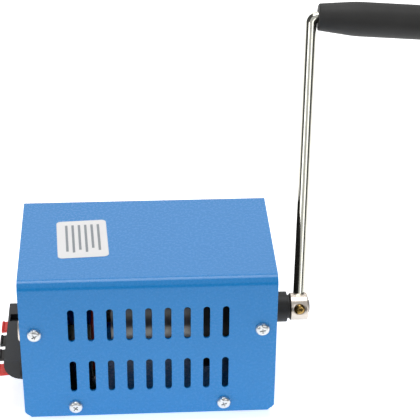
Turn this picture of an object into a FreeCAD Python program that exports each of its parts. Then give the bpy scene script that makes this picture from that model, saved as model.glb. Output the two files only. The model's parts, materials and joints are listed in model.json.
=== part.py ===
"""Hand crank generator: a folded steel case with a geared direct current machine inside.

Frame: millimetres, +Z up, +X towards the crank, +Y towards the back of the case.
The origin is the middle of the case's footprint, on the surface that the feet stand on.
"""
import FreeCAD, Part
import math
import operator
import os
from types import SimpleNamespace

import Sketcher
from FreeCAD import Placement, Rotation, Vector

# Driving dimensions, in millimetres and degrees
SIZES = {
    # Case
    "case_width": 110.0,
    "case_depth": 70.0,
    "case_height": 70.0,
    "wall": 1.0,
    "cover_bend": 4.0,
    "corner_cut": 2.8,
    "chassis_bend": 2.6,
    "cover_gap": 0.15,
    "low_flange_height": 10.5,
    "side_flange_width": 11.0,
    "side_flange_height": 46.0,
    "flange_bend": 1.4,
    # Ventilation slots
    "slot_width": 2.9,
    "slot_length": 16.4,
    "slot_pitch": 8.26,
    "slots_per_row": 9,
    "low_slot_height": 21.5,
    "high_slot_height": 48.2,
    # Screws of the case, and the ones of the same thread inside it
    "screw_radius": 1.5,
    "screw_head_radius": 3.1,
    "screw_head_height": 2.1,
    "case_screw_length": 4.2,
    "hole_gap": 0.2,
    "thread_gap": 0.02,
    "side_screw_inset": 6.2,
    "side_screw_height": 44.2,
    "low_screw_inset": 22.4,
    "low_screw_height": 5.3,
    # Feet
    "foot_height": 4.5,
    "foot_radius": 5.6,
    "foot_tip_radius": 4.8,
    "foot_inset": 14.3,
    "foot_setback": 11.0,
    "foot_recess_radius": 3.5,
    "foot_recess_depth": 2.5,
    # Blank sticker on the top
    "label_width": 22.0,
    "label_depth": 30.4,
    "label_thickness": 0.2,
    "label_corner": 2.0,
    "label_inset": 27.0,
    "label_turn": 3.0,
    # Spring terminals on the left panel
    "terminal_start": 12.0,
    "terminal_room": 26.0,
    "terminal_rim": 1.0,
    "terminal_reach": 8.9,
    "terminal_low": 12.0,
    "terminal_high": 21.5,
    "terminal_curve": 7.4,
    "pocket_inset": 0.9,
    "pocket_length": 5.6,
    "pocket_width": 5.0,
    "pocket_depth": 3.0,
    "lever_width": 7.2,
    "lever_thickness": 1.2,
    "lever_reach": 12.7,
    "lever_barrel_radius": 1.3,
    "lever_pin_radius": 0.7,
    "lever_pin_length": 0.9,
    "lever_droop": 0.9,
    "pivot_reach": 4.6,
    "pivot_height": 13.5,
    "lever_gap": 0.3,
    "wire_hole_radius": 1.6,
    "wire_hole_height": 17.9,
    "contact_thickness": 0.6,
    "contact_width": 5.0,
    "contact_height": 7.0,
    "contact_rise": 1.2,
    "contact_inset": 1.3,
    "tail_rise": 1.6,
    "tail_width": 1.2,
    "tail_thickness": 0.6,
    "tail_length": 5.4,
    "spring_thickness": 0.3,
    "spring_height": 5.6,
    "spring_hook": 0.8,
    "ear_distance": 4.1,
    "ear_radius": 2.9,
    "ear_thickness": 1.4,
    "ear_screw_radius": 1.2,
    "ear_screw_head": 2.3,
    "ear_screw_length": 4.6,
    # Power socket on the left panel
    "socket_setback": 9.8,
    "socket_height": 39.9,
    "socket_radius": 4.0,
    "socket_bore": 2.75,
    "socket_depth": 10.0,
    "socket_pin_radius": 1.05,
    "socket_nut_radius": 4.9,
    "socket_nut_height": 1.2,
    "socket_nut_chamfer": 0.6,
    # Circuit board
    "board_inset": 5.0,
    "board_width": 30.0,
    "board_depth": 48.0,
    "board_thickness": 1.6,
    "post_height": 5.0,
    "post_radius": 3.0,
    "post_margin": 3.5,
    "capacitor_radius": 5.0,
    "capacitor_height": 12.0,
    "capacitor_inset": 18.5,
    "capacitor_margin": 5.5,
    "rectifier_radius": 4.4,
    "rectifier_height": 5.2,
    "rectifier_inset": 16.0,
    # Leads
    "lead_radius": 0.8,
    "lead_pad_inset": 7.0,
    "motor_lead_reach": 6.1,
    "motor_lead_spread": 8.5,
    # Shaft line and gearbox
    "shaft_height": 31.25,
    "shaft_radius": 3.0,
    "running_gap": 0.04,
    "press_gap": 0.01,
    "gearbox_length": 31.0,
    "gearbox_wall": 1.6,
    "gearbox_end": 2.0,
    "plate_thickness": 2.0,
    "tooth_module": 0.6,
    "wheel_teeth": 50,
    "pinion_teeth": 12,
    "tooth_shift": 0.4,
    "pressure_angle": 20.0,
    "backlash": 0.1,
    "layshaft_angle": 60.0,
    "gear_width": 4.6,
    "gear_gap": 0.8,
    "wheel_spacing": 8.4,
    "pin_radius": 1.5,
    "pin_boss_radius": 3.4,
    "nose_radius": 6.9,
    "nose_length": 8.1,
    "nose_depth": 12.0,
    "bush_radius": 4.8,
    "bush_length": 5.0,
    "clip_thickness": 0.7,
    "clip_radius": 5.0,
    "clip_groove": 0.6,
    "ear_offset": 3.8,
    "gearbox_ear_radius": 4.2,
    "gearbox_ear_length": 9.0,
    "panel_boss_length": 6.0,
    "panel_screw_circle": 12.0,
    "panel_screw_length": 8.0,
    "small_head_height": 1.2,
    # Direct current machine
    "motor_radius": 18.0,
    "motor_length": 37.5,
    "motor_wall": 1.2,
    "motor_boss_radius": 6.0,
    "motor_boss_height": 2.0,
    "motor_screw_circle": 12.5,
    "motor_shaft_radius": 1.5,
    "rotor_radius": 13.3,
    "rotor_length": 20.0,
    "rotor_slots": 5,
    "rotor_slot_width": 5.0,
    "rotor_slot_depth": 7.0,
    "air_gap": 0.5,
    "winding_radius": 11.6,
    "winding_end": 2.6,
    "commutator_radius": 4.0,
    "commutator_length": 5.0,
    "brush_size": 4.0,
    "brush_length": 6.0,
    "end_cap_thickness": 3.4,
    "bearing_radius": 3.0,
    # Crank
    "collar_radius": 5.35,
    "collar_length": 1.2,
    "collar_gap": 0.1,
    "hub_radius": 6.3,
    "hub_length": 8.2,
    "hub_chamfer": 0.5,
    "shaft_end": 0.9,
    "hub_screw_angle": 20.0,
    "hub_screw_radius": 1.5,
    "hub_screw_head_radius": 2.4,
    "hub_screw_head_height": 1.6,
    "hub_screw_seat": 5.4,
    "arm_radius": 2.5,
    "arm_length": 131.8,
    "arm_tilt": 30.0,
    "arm_lean": 3.95,
    "arm_bend": 3.4,
    # Grip
    "grip_start": 3.0,
    "grip_length": 87.0,
    "grip_end_radius": 6.15,
    "grip_radius": 7.9,
    "grip_flare": 17.0,
    "grip_mouth": 0.5,
    "grip_dome": 2.4,
    "grip_lip": 0.6,
    "grip_bore_gap": 0.1,
    "grip_recess_radius": 4.9,
    "grip_recess_depth": 6.0,
    "washer_radius": 4.4,
    "washer_thickness": 1.0,
    "grip_screw_radius": 1.0,
    "grip_screw_length": 4.5,
    "grip_screw_head": 2.8,
    "grip_screw_head_height": 1.6,
}

doc = FreeCAD.newDocument("hand_crank_generator")
sheet = doc.addObject("Spreadsheet::Sheet", "sizes")
for row, (alias, amount) in enumerate(SIZES.items(), start=1):
    sheet.set(f"A{row}", alias.replace("_", " "))
    sheet.set(f"B{row}", str(amount))
    sheet.setAlias(f"B{row}", alias)
doc.recompute()


class Measure:
    """A length, angle or count, kept as an expression on the sheet and as its number."""

    def __init__(self, text, value):
        self.text = text
        self.value = value

    def __add__(self, other):
        return combined(self, "+", other)

    def __radd__(self, other):
        return combined(other, "+", self)

    def __sub__(self, other):
        return combined(self, "-", other)

    def __rsub__(self, other):
        return combined(other, "-", self)

    def __mul__(self, other):
        return combined(self, "*", other)

    def __rmul__(self, other):
        return combined(other, "*", self)

    def __truediv__(self, other):
        return combined(self, "/", other)

    def __rtruediv__(self, other):
        return combined(other, "/", self)

    def __neg__(self):
        return combined(0, "-", self)


OPERATIONS = {"+": operator.add, "-": operator.sub, "*": operator.mul, "/": operator.truediv}


def measured(item):
    return item if isinstance(item, Measure) else Measure(repr(item), item)


def combined(first, sign, second):
    first = measured(first)
    second = measured(second)
    return Measure(f"({first.text} {sign} {second.text})",
                   OPERATIONS[sign](first.value, second.value))


def sine(angle):
    return Measure(f"sin({angle.text})", math.sin(math.radians(angle.value)))


def cosine(angle):
    return Measure(f"cos({angle.text})", math.cos(math.radians(angle.value)))


size = SimpleNamespace(**{alias: Measure(f"sizes.{alias}", float(sheet.get(alias)))
                          for alias in SIZES})

# Planes and lines that several pieces share
left = -size.case_width / 2
right = size.case_width / 2
front = -size.case_depth / 2
back = size.case_depth / 2
base = size.foot_height + 0
top = base + size.case_height
inner_front = front + size.wall + size.cover_gap
inner_back = back - size.wall - size.cover_gap
panel_left = left + size.wall
panel_right = right - size.wall
floor_top = base + size.wall
shaft_z = base + size.shaft_height
centre_distance = (size.wheel_teeth + size.pinion_teeth) * size.tooth_module / 2
lay_y = centre_distance * cosine(size.layshaft_angle)
lay_z = shaft_z + centre_distance * sine(size.layshaft_angle)
gearbox_left = panel_right - size.gearbox_length
plate_left = gearbox_left - size.plate_thickness
motor_left = plate_left - size.motor_length
first_stage = gearbox_left + size.gear_gap + size.small_head_height
second_stage = first_stage + size.wheel_spacing
wheel_tip_radius = (size.wheel_teeth / 2 + 1 - size.tooth_shift) * size.tooth_module
gearbox_radius = wheel_tip_radius + 1 + size.gearbox_wall
nose_left = panel_right - size.nose_depth - size.gearbox_end
nose_right = right + size.nose_length
hub_left = nose_right + size.collar_gap + size.collar_length
hub_right = hub_left + size.hub_length
hub_middle = hub_left + size.hub_length / 2
board_bottom = floor_top + size.post_height
board_top = board_bottom + size.board_thickness

UP = Rotation()
DOWN = Rotation(Vector(1, 0, 0), 180)
TO_RIGHT = Rotation(Vector(0, 1, 0), 90)
TO_LEFT = Rotation(Vector(0, 1, 0), -90)
TO_BACK = Rotation(Vector(1, 0, 0), -90)
TO_FRONT = Rotation(Vector(1, 0, 0), 90)

nodes = []


def bind(item, **amounts):
    """Ties properties of an object to expressions on the sheet."""
    for name, amount in amounts.items():
        item.setExpression(name, measured(amount).text)


def put(item, place, turn=UP):
    """Places an object: its point is bound to the sheet, its turn is fixed."""
    item.Placement = Placement(Vector(), turn)
    for axis, amount in zip("xyz", place):
        item.setExpression(f".Placement.Base.{axis}", measured(amount).text)


def new_body(label):
    body = doc.addObject("PartDesign::Body", label)
    body.Label = label
    nodes.append(body)
    return body


def feature(body, kind, place, turn, cut, amounts):
    side = "Subtractive" if cut else "Additive"
    item = body.newObject(f"PartDesign::{side}{kind}", f"{body.Label}_{kind.lower()}")
    put(item, place, turn)
    bind(item, **amounts)
    return item


def box(body, place, length, width, height, turn=UP, cut=False):
    sizes = {"Length": length, "Width": width, "Height": height}
    return feature(body, "Box", place, turn, cut, sizes)


def rod(body, place, radius, height, turn=TO_RIGHT, cut=False):
    return feature(body, "Cylinder", place, turn, cut, {"Radius": radius, "Height": height})


def taper(body, place, radius1, radius2, height, turn=TO_RIGHT, cut=False):
    sizes = {"Radius1": radius1, "Radius2": radius2, "Height": height}
    return feature(body, "Cone", place, turn, cut, sizes)


def soften(body, amount, chosen, kind="Fillet"):
    """Rounds or chamfers the edges of a body that a test on each edge picks."""
    doc.recompute()
    below = body.Tip
    names = [f"Edge{number}" for number, edge in enumerate(below.Shape.Edges, start=1)
             if chosen(edge)]
    if not names:
        raise ValueError(f"no edge of {body.Label} to round")
    item = body.newObject(f"PartDesign::{kind}", f"{body.Label}_{kind.lower()}")
    item.Base = (below, names)
    bind(item, **{"Radius" if kind == "Fillet" else "Size": amount})
    return item


def lies_at(edge, **wanted):
    """True for an edge whose whole box lies at the wanted x, y or z values."""
    limits = edge.BoundBox
    for axis, values in wanted.items():
        low = getattr(limits, f"{axis.upper()}Min")
        high = getattr(limits, f"{axis.upper()}Max")
        if high - low > 0.01 or not any(abs(low - amount.value) < 0.01 for amount in values):
            return False
    return True


def new_sketch(body, role):
    """Adds an empty sketch on one of the body's own origin planes."""
    plane = next(item for item in body.Origin.OriginFeatures if item.Role == role)
    sketch = body.newObject("Sketcher::SketchObject", f"{body.Label}_sketch")
    sketch.AttachmentSupport = [(plane, "")]
    sketch.MapMode = "FlatFace"
    return sketch


def fix(sketch, kind, *where, amount):
    """Adds a dimension to a sketch and ties it to the sheet."""
    amount = measured(amount)
    number = sketch.addConstraint(Sketcher.Constraint(kind, *where, amount.value))
    sketch.renameConstraint(number, f"size_{number}")
    sketch.setExpression(f".Constraints.size_{number}", amount.text)


def pin_point(sketch, line, end, across, upward):
    fix(sketch, "DistanceX", -1, 1, line, end, amount=across)
    fix(sketch, "DistanceY", -1, 1, line, end, amount=upward)


def outline(body, role, corners):
    """Draws a closed outline with straight edges through corners given as (across, up)."""
    sketch = new_sketch(body, role)
    points = [Vector(measured(across).value, measured(upward).value, 0)
              for across, upward in corners]
    for start, stop in zip(points, points[1:] + points[:1]):
        sketch.addGeometry(Part.LineSegment(start, stop))
    for number, (across, upward) in enumerate(corners):
        following = (number + 1) % len(corners)
        sketch.addConstraint(Sketcher.Constraint("Coincident", number, 2, following, 1))
        pin_point(sketch, number, 1, across, upward)
    return sketch


def pad(body, sketch, length, backward=True):
    item = body.newObject("PartDesign::Pad", f"{body.Label}_pad")
    item.Profile = sketch
    item.Reversed = backward
    bind(item, Length=length)
    return item


def group(label, members):
    """Joins separate solids into one node."""
    item = doc.addObject("Part::Compound", label)
    item.Label = label
    item.Links = members
    nodes.append(item)
    return item


def solid(kind, name, place, turn=UP, **amounts):
    """Makes one loose primitive for a group."""
    item = doc.addObject(f"Part::{kind}", name)
    put(item, place, turn)
    bind(item, **amounts)
    return item


def joined(name, *members):
    item = doc.addObject("Part::MultiFuse", name)
    item.Shapes = list(members)
    return item


def less(name, whole, tool):
    item = doc.addObject("Part::Cut", name)
    item.Base = whole
    item.Tool = tool
    return item


def drawn(label, shape):
    """Keeps a shape that no feature of the document fits as a node."""
    item = doc.addObject("Part::Feature", label)
    item.Label = label
    item.Shape = shape
    nodes.append(item)
    return item


def along(place, direction, amount):
    """The point that lies an amount from a place in a signed axis direction."""
    return tuple(start + amount * step if step else start
                 for start, step in zip(place, direction))


def screw(name, place, direction, turn, head_radius, head_height, radius, length):
    """A pan head screw. Place is the middle of the seat under its head, and the shank
    runs against the direction that the head faces."""
    back_turn = Rotation(Vector(*direction), 180).multiply(turn)
    crown = 0.45 * head_height
    head = solid("Cylinder", f"{name}_head", place, turn,
                 Radius=head_radius, Height=head_height - crown)
    dome = solid("Cone", f"{name}_dome", along(place, direction, head_height - crown), turn,
                 Radius1=head_radius, Radius2=head_radius * 0.72, Height=crown)
    shank = solid("Cylinder", f"{name}_shank", along(place, direction, -length), back_turn,
                  Radius=radius, Height=length)
    return joined(name, head, dome, shank)


# Cover: one sheet folded over the front, top and back
cover = new_body("cover")
box(cover, (left, front, base), size.case_width, size.case_depth, size.case_height)
box(cover, (left - 1, front + size.wall, base - 1), size.case_width + 2,
    size.case_depth - 2 * size.wall, size.case_height - size.wall + 1, cut=True)
soften(cover, size.cover_bend - size.wall,
       lambda edge: lies_at(edge, y=(front + size.wall, back - size.wall), z=(top - size.wall,)))
soften(cover, size.cover_bend, lambda edge: lies_at(edge, y=(front, back), z=(top,)))
soften(cover, size.corner_cut, lambda edge: lies_at(edge, x=(left, right), z=(base,)), "Chamfer")

slots = new_sketch(cover, "XZ_Plane")
first_slot = -size.slot_pitch * (size.slots_per_row - 1) / 2
slot_straight = size.slot_length - size.slot_width
for number, height in enumerate((size.low_slot_height, size.high_slot_height)):
    middle = Vector(first_slot.value, (base + height).value, 0)
    radius = size.slot_width.value / 2
    reach = slot_straight.value / 2
    high = Vector(middle.x, middle.y + reach, 0)
    low = Vector(middle.x, middle.y - reach, 0)
    side = Vector(radius, 0, 0)
    crown = Vector(0, radius, 0)
    upper, right_side, lower, left_side = range(4 * number, 4 * number + 4)
    slots.addGeometry(Part.Arc(high + side, high + crown, high - side))
    slots.addGeometry(Part.LineSegment(low + side, high + side))
    slots.addGeometry(Part.Arc(low - side, low - crown, low + side))
    slots.addGeometry(Part.LineSegment(high - side, low - side))
    for first, end, second, start in ((right_side, 2, upper, 1), (upper, 2, left_side, 1),
                                      (left_side, 2, lower, 1), (lower, 2, right_side, 1)):
        slots.addConstraint(Sketcher.Constraint("Tangent", first, end, second, start))
    slots.addConstraint(Sketcher.Constraint("Vertical", right_side))
    fix(slots, "Radius", upper, amount=size.slot_width / 2)
    pin_point(slots, upper, 3, first_slot, base + height + slot_straight / 2)
    fix(slots, "DistanceY", lower, 3, upper, 3, amount=slot_straight)
slot_cut = cover.newObject("PartDesign::Pocket", "cover_slots")
slot_cut.Profile = slots
slot_cut.Type = "ThroughAll"
slot_cut.Midplane = True
slot_rows = cover.newObject("PartDesign::LinearPattern", "cover_slot_rows")
slot_rows.Originals = [slot_cut]
slot_rows.Direction = (slots, ["H_Axis"])
bind(slot_rows, Length=size.slot_pitch * (size.slots_per_row - 1),
     Occurrences=size.slots_per_row)
cover.Tip = slot_rows

screw_spots = [(left + size.side_screw_inset, base + size.side_screw_height),
               (right - size.side_screw_inset, base + size.side_screw_height),
               (left + size.low_screw_inset, base + size.low_screw_height),
               (right - size.low_screw_inset, base + size.low_screw_height)]
for across, height in screw_spots:
    rod(cover, (across, front - 1, height), size.screw_radius + size.hole_gap,
        size.case_depth + 2, TO_BACK, cut=True)

# Chassis: the floor and both side panels, folded from one sheet, with flanges for the screws
chassis = new_body("chassis")
inner_depth = size.case_depth - 2 * (size.wall + size.cover_gap)
panel_height = size.case_height - size.wall - size.cover_gap
box(chassis, (left, inner_front, base), size.case_width, inner_depth, panel_height)
soften(chassis, size.chassis_bend, lambda edge: lies_at(edge, x=(left, right), z=(base,)))
soften(chassis, size.cover_bend,
       lambda edge: lies_at(edge, y=(inner_front, inner_back), z=(base + panel_height,)))
box(chassis, (panel_left, inner_front - 1, floor_top), size.case_width - 2 * size.wall,
    inner_depth + 2, size.case_height, cut=True)
soften(chassis, size.chassis_bend - size.wall,
       lambda edge: lies_at(edge, x=(panel_left, panel_right), z=(floor_top,)))
flange_room = size.chassis_bend + 2
for wall_y in (inner_front, inner_back - size.wall):
    box(chassis, (left + flange_room, wall_y, base), size.case_width - 2 * flange_room,
        size.wall, size.low_flange_height)
    for wall_x in (panel_left, panel_right - size.side_flange_width):
        box(chassis, (wall_x, wall_y, base + size.low_flange_height + 3),
            size.side_flange_width, size.wall, size.side_flange_height)
for across, height in screw_spots:
    rod(chassis, (across, front, height), size.screw_radius + size.thread_gap,
        size.case_depth, TO_BACK, cut=True)
rod(chassis, (panel_right - 1, 0, shaft_z), size.nose_radius + size.hole_gap,
    size.wall + 2, cut=True)
foot_spots = [(side * (right - size.foot_inset), depth * (back - size.foot_setback))
              for side in (-1, 1) for depth in (-1, 1)]
for across, depth in foot_spots:
    rod(chassis, (across, depth, base - 1), size.screw_radius + size.thread_gap,
        size.wall + 2, UP, cut=True)
board_left = panel_left + size.board_inset
post_spots = [(board_left + size.post_margin + step * (size.board_width - 2 * size.post_margin),
               side * (size.board_depth / 2 - size.post_margin))
              for step in (0, 1) for side in (-1, 1)]
for across, depth in post_spots:
    rod(chassis, (across, depth, base - 1), size.screw_radius + size.thread_gap,
        size.wall + 2, UP, cut=True)
panel_spots = []
for angle in (90, 210, 330):
    turn = measured(angle)
    panel_spots.append((size.panel_screw_circle * cosine(turn),
                        shaft_z + size.panel_screw_circle * sine(turn)))
for depth, height in panel_spots:
    rod(chassis, (panel_right - 1, depth, height), size.screw_radius + size.hole_gap,
        size.wall + 2, cut=True)
socket_y = front + size.socket_setback
socket_z = base + size.socket_height
rod(chassis, (left - 1, socket_y, socket_z), size.socket_radius + size.thread_gap,
    size.wall + 2, cut=True)
lever_pitch = (size.case_depth - size.terminal_room) / 4
first_lever = front + size.terminal_start + size.terminal_rim + lever_pitch / 2
lever_spots = [first_lever + step * lever_pitch for step in range(4)]
tail_z = base + size.pivot_height + size.tail_rise
tail_hole = 2 * size.tail_width
for depth in lever_spots:
    box(chassis, (left - 1, depth - tail_hole / 2, tail_z - 0.3), size.wall + 2, tail_hole,
        tail_hole * 0.75, cut=True)
terminal_front = front + size.terminal_start
terminal_length = 4 * lever_pitch + 1.8 * size.terminal_rim
terminal_back = terminal_front + terminal_length
ear_z = base + size.terminal_high - size.ear_radius
ear_spots = (terminal_front - size.ear_distance, terminal_back + size.ear_distance)
for depth in ear_spots:
    rod(chassis, (left - 1, depth, ear_z), size.ear_screw_radius + size.thread_gap,
        size.wall + 2, cut=True)

case_screws = []
for number, (across, height) in enumerate(screw_spots):
    for name, wall_y, way, turn in (("front", front, -1, TO_FRONT), ("back", back, 1, TO_BACK)):
        case_screws.append(screw(f"case_screw_{name}_{number}", (across, wall_y, height),
                                 (0, way, 0), turn, size.screw_head_radius,
                                 size.screw_head_height, size.screw_radius,
                                 size.case_screw_length))
group("cover_screws", case_screws)

# Feet: rubber buttons, each held by a screw from below
feet = []
foot_screws = []
for number, (across, depth) in enumerate(foot_spots):
    button = solid("Cone", f"foot_{number}_button", (across, depth, 0),
                   Radius1=size.foot_tip_radius, Radius2=size.foot_radius,
                   Height=size.foot_height)
    recess = solid("Cylinder", f"foot_{number}_recess", (across, depth, 0),
                   Radius=size.foot_recess_radius, Height=size.foot_recess_depth)
    hole = solid("Cylinder", f"foot_{number}_hole", (across, depth, 0),
                 Radius=size.screw_radius + size.hole_gap, Height=size.foot_height + 1)
    feet.append(less(f"foot_{number}", button, joined(f"foot_{number}_bore", recess, hole)))
    foot_screws.append(screw(f"foot_screw_{number}", (across, depth, size.foot_recess_depth),
                             (0, 0, -1), DOWN, size.screw_head_radius,
                             size.foot_recess_depth * 0.8, size.screw_radius,
                             size.foot_height - size.foot_recess_depth + size.wall + 1))
group("feet", feet)
group("foot_screws", foot_screws)

# Blank sticker on the top
top_label = new_body("top_label")
put(top_label, (left + size.label_inset, 0, top),
    Rotation(Vector(0, 0, 1), size.label_turn.value))
label_x = size.label_width / 2
label_y = size.label_depth / 2
box(top_label, (-label_x, -label_y, 0), size.label_width, size.label_depth,
    size.label_thickness)
soften(top_label, size.label_corner,
       lambda edge: lies_at(edge, x=(-label_x, label_x), y=(-label_y, label_y)))

# Terminal housing: a moulded block with a cell, a wire hole and a lever slot for each lever
housing = new_body("terminal_housing")
block_low = base + size.terminal_low
block_high = base + size.terminal_high
block_left = left - size.terminal_reach
box(housing, (block_left, terminal_front, block_low), size.terminal_reach, terminal_length,
    block_high - block_low)
soften(housing, size.terminal_curve,
       lambda edge: lies_at(edge, x=(block_left,), z=(block_low,)))
for depth, inner in zip(ear_spots, (terminal_front, terminal_back)):
    low_end, high_end = (depth, inner) if inner.value > depth.value else (inner, depth)
    box(housing, (left - size.ear_thickness, low_end, ear_z - size.ear_radius),
        size.ear_thickness, high_end - low_end, 2 * size.ear_radius)
    rod(housing, (left - size.ear_thickness, depth, ear_z), size.ear_radius, size.ear_thickness)
    rod(housing, (left - size.ear_thickness - 1, depth, ear_z),
        size.ear_screw_radius + size.hole_gap, size.ear_thickness + 2, cut=True)
    taper(housing, (left - size.ear_thickness, depth, ear_z), size.ear_screw_head,
          size.ear_screw_radius, size.ear_thickness, cut=True)
pivot_x = left - size.pivot_reach
pivot_z = base + size.pivot_height
cell_wall = pivot_x + size.lever_barrel_radius + size.lever_gap
cell_high = pivot_z + size.lever_barrel_radius + size.lever_gap
cell_half = size.lever_width / 2 + size.lever_gap
contact_back = left - size.contact_inset
contact_low = block_low + size.contact_rise
slack = 0.2
for depth in lever_spots:
    box(housing, (block_left - 1, depth - cell_half, block_low - 1),
        cell_wall - block_left + 1, 2 * cell_half, cell_high - block_low + 1, cut=True)
    rod(housing, (pivot_x, depth - cell_half - size.lever_pin_length, pivot_z),
        size.lever_pin_radius + size.running_gap, 2 * (cell_half + size.lever_pin_length),
        TO_BACK, cut=True)
    rod(housing, (block_left - 1, depth, base + size.wire_hole_height), size.wire_hole_radius,
        contact_back - block_left + 1, cut=True)
    box(housing, (cell_wall - slack, depth - size.contact_width / 2 - slack,
                  contact_low - slack),
        contact_back - cell_wall + slack, size.contact_width + 2 * slack,
        size.contact_height + 2 * slack, cut=True)
    box(housing, (contact_back - slack, depth - size.tail_width / 2 - slack / 2, tail_z),
        2, size.tail_width + slack, 2 * size.tail_thickness, cut=True)
pocket_front = (lever_spots[2] + lever_spots[3] - size.pocket_length) / 2 + slack
box(housing, (block_left + size.pocket_inset, pocket_front, block_high - size.pocket_depth),
    size.pocket_width, size.pocket_length, size.pocket_depth + 1, cut=True)

# Terminal levers: each turns on two pins in its cell
reach = size.lever_reach - size.pivot_reach
lever_top = size.lever_thickness - size.lever_barrel_radius
tip_top = lever_top - size.lever_droop
for number, depth in enumerate(lever_spots, start=1):
    lever = new_body(f"terminal_lever_{number}")
    put(lever, (pivot_x, depth - size.lever_width / 2, pivot_z))
    profile = outline(lever, "XZ_Plane", [
        (0, -size.lever_barrel_radius + 0.1),
        (0, lever_top + 0.6),
        (-reach + 1.4, tip_top + 0.6),
        (-reach + 0.7, tip_top + 1.1),
        (-reach, tip_top + 0.8),
        (-reach, tip_top - 0.9)])
    pad(lever, profile, size.lever_width)
    rod(lever, (0, 0, 0), size.lever_barrel_radius, size.lever_width, TO_BACK)
    rod(lever, (0, -size.lever_pin_length, 0), size.lever_pin_radius,
        size.lever_width + 2 * size.lever_pin_length, TO_BACK)

# Contacts and springs behind the wire holes
contacts = []
springs = []
tail_left = contact_back - slack
spring_high = contact_low + size.contact_height
spring_width = size.contact_width - 1
leaf_x = contact_back - size.contact_thickness - size.spring_thickness
for number, depth in enumerate(lever_spots, start=1):
    plate = solid("Box", f"contact_plate_{number}",
                  (contact_back - size.contact_thickness, depth - size.contact_width / 2,
                   contact_low),
                  Length=size.contact_thickness, Width=size.contact_width,
                  Height=size.contact_height)
    tail = solid("Box", f"contact_tail_{number}",
                 (tail_left, depth - size.tail_width / 2, tail_z + size.tail_thickness / 2),
                 Length=size.tail_length, Width=size.tail_width, Height=size.tail_thickness)
    contacts.append(joined(f"contact_{number}", plate, tail))
    leaf = solid("Box", f"spring_leaf_{number}",
                 (leaf_x, depth - spring_width / 2, spring_high - size.spring_height),
                 Length=size.spring_thickness, Width=spring_width, Height=size.spring_height)
    hook = solid("Box", f"spring_hook_{number}",
                 (leaf_x - size.spring_hook + 0.1, depth - spring_width / 2,
                  spring_high - size.spring_thickness),
                 Length=size.spring_hook, Width=spring_width, Height=size.spring_thickness)
    springs.append(joined(f"spring_{number}", leaf, hook))
group("terminal_contacts", contacts)
group("terminal_springs", springs)

terminal_screws = []
for number, depth in enumerate(ear_spots):
    place = (left - size.ear_thickness, depth, ear_z)
    head = solid("Cone", f"terminal_screw_head_{number}", place, TO_RIGHT,
                 Radius1=size.ear_screw_head - 0.05, Radius2=size.ear_screw_radius,
                 Height=size.ear_thickness - 0.05)
    shank = solid("Cylinder", f"terminal_screw_shank_{number}", place, TO_RIGHT,
                  Radius=size.ear_screw_radius, Height=size.ear_screw_length)
    terminal_screws.append(joined(f"terminal_screw_{number}", head, shank))
group("terminal_screws", terminal_screws)

# Power socket: a threaded barrel through the left panel, its ring nut and its middle pin
socket = new_body("power_socket")
barrel_left = left - size.socket_nut_height + 0.3
rod(socket, (barrel_left, socket_y, socket_z), size.socket_radius,
    panel_left - barrel_left)
rod(socket, (panel_left, socket_y, socket_z), size.socket_radius + 1, size.socket_depth)
rod(socket, (barrel_left - 1, socket_y, socket_z), size.socket_bore,
    panel_left - barrel_left + size.socket_depth - 1.5, cut=True)
socket_nut = new_body("power_socket_nut")
rod(socket_nut, (left - size.socket_nut_height, socket_y, socket_z), size.socket_nut_radius,
    size.socket_nut_height)
soften(socket_nut, size.socket_nut_chamfer,
       lambda edge: lies_at(edge, x=(left - size.socket_nut_height,)), "Chamfer")
rod(socket_nut, (left - size.socket_nut_height - 1, socket_y, socket_z),
    size.socket_radius + size.thread_gap, size.socket_nut_height + 2, cut=True)
socket_pin = new_body("power_socket_pin")
rod(socket_pin, (barrel_left + 1, socket_y, socket_z), size.socket_pin_radius,
    panel_left - barrel_left + size.socket_depth - 3.5)

# Circuit board on four posts, with the parts that steady the output
board = new_body("circuit_board")
box(board, (board_left, -size.board_depth / 2, board_bottom), size.board_width,
    size.board_depth, size.board_thickness)
for across, depth in post_spots:
    rod(board, (across, depth, board_bottom - 1), size.screw_radius + size.hole_gap,
        size.board_thickness + 2, UP, cut=True)
posts = []
board_screws = []
for number, (across, depth) in enumerate(post_spots):
    tube = solid("Cylinder", f"post_{number}_tube", (across, depth, floor_top),
                 Radius=size.post_radius, Height=size.post_height)
    hole = solid("Cylinder", f"post_{number}_hole", (across, depth, floor_top - 1),
                 Radius=size.screw_radius + size.hole_gap, Height=size.post_height + 2)
    posts.append(less(f"post_{number}", tube, hole))
    board_screws.append(screw(f"board_screw_{number}", (across, depth, board_top), (0, 0, 1),
                              UP, size.screw_head_radius - 0.4, size.screw_head_height,
                              size.screw_radius, board_top - base))
group("board_posts", posts)
group("board_screws", board_screws)
capacitor = new_body("capacitor")
capacitor_spot = (board_left + size.capacitor_inset,
                  size.capacitor_margin - size.board_depth / 2, board_top)
rod(capacitor, capacitor_spot, size.capacitor_radius, size.capacitor_height, UP)
rectifier = new_body("rectifier")
rectifier_spot = (board_left + size.rectifier_inset, 0, board_top)
rod(rectifier, rectifier_spot, size.rectifier_radius, size.rectifier_height, UP)


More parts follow.
